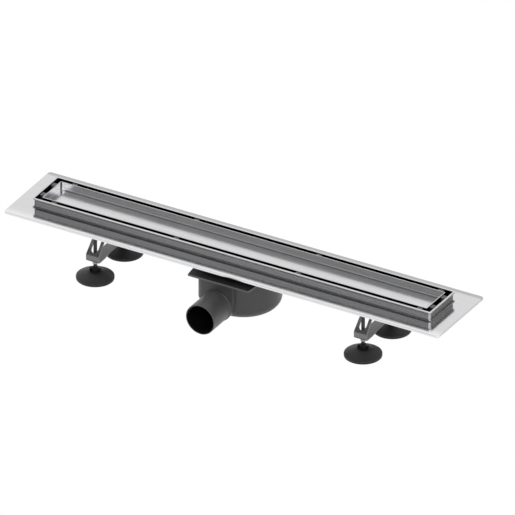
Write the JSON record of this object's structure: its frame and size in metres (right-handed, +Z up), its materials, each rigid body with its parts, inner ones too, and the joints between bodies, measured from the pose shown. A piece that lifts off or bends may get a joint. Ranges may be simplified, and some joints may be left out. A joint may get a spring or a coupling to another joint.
{
  "type": "linear shower drain",
  "caption": "Long narrow floor drain with a tile tray, sealing flange, side-outlet trap and levelling feet on folded brackets.",
  "frame": {"origin": "middle of the upper face of the tray floor, where the tile is bedded", "axes": "+Z up, +X along the channel, the outlet pipe leaves towards -Y"},
  "size_m": [0.763, 0.193, 0.1035],
  "materials": {
    "channel_steel": "polished",
    "flange_steel": "bright satin",
    "tray_steel": "polished",
    "bracket_steel": "satin",
    "fastener_steel": "zinc plated",
    "stud_steel": "dark plated thread",
    "trap_plastic": "smooth satin",
    "foot_plastic": "satin",
    "insert_plastic": "satin",
    "spacer_plastic": "satin",
    "rubber": "matt"
  },
  "bodies": {
    "drain": {"channel_trough": "channel_steel", "sealing_flange": "flange_steel", "tile_tray": "tray_steel", "tray_spacers": "spacer_plastic", "tray_supports": "rubber", "trap_body": "trap_plastic", "trap_cover": "trap_plastic", "siphon_cup": "insert_plastic", "trap_gasket": "rubber", "trap_screws": "fastener_steel", "dip_tube": "insert_plastic", "dip_tube_seal": "rubber", "hair_sieve": "insert_plastic", "leg_bracket_left": "bracket_steel", "leg_bracket_right": "bracket_steel", "upper_nuts": "fastener_steel", "lower_nuts": "fastener_steel"},
    "foot_front_left": {"foot_stud_front_left": "stud_steel", "foot_pad_front_left": "foot_plastic"},
    "foot_front_right": {"foot_stud_front_right": "stud_steel", "foot_pad_front_right": "foot_plastic"},
    "foot_rear_left": {"foot_stud_rear_left": "stud_steel", "foot_pad_rear_left": "foot_plastic"},
    "foot_rear_right": {"foot_stud_rear_right": "stud_steel", "foot_pad_rear_right": "foot_plastic"}
  },
  "joints": [
    {"name": "level_front_left", "type": "slide", "parent": "drain", "child": "foot_front_left", "axis": [0, 0, -1], "range_m": [-0.005, 0.03]},
    {"name": "level_front_right", "type": "slide", "parent": "drain", "child": "foot_front_right", "axis": [0, 0, -1], "range_m": [-0.005, 0.03]},
    {"name": "level_rear_left", "type": "slide", "parent": "drain", "child": "foot_rear_left", "axis": [0, 0, -1], "range_m": [-0.005, 0.03]},
    {"name": "level_rear_right", "type": "slide", "parent": "drain", "child": "foot_rear_right", "axis": [0, 0, -1], "range_m": [-0.005, 0.03]}
  ]
}
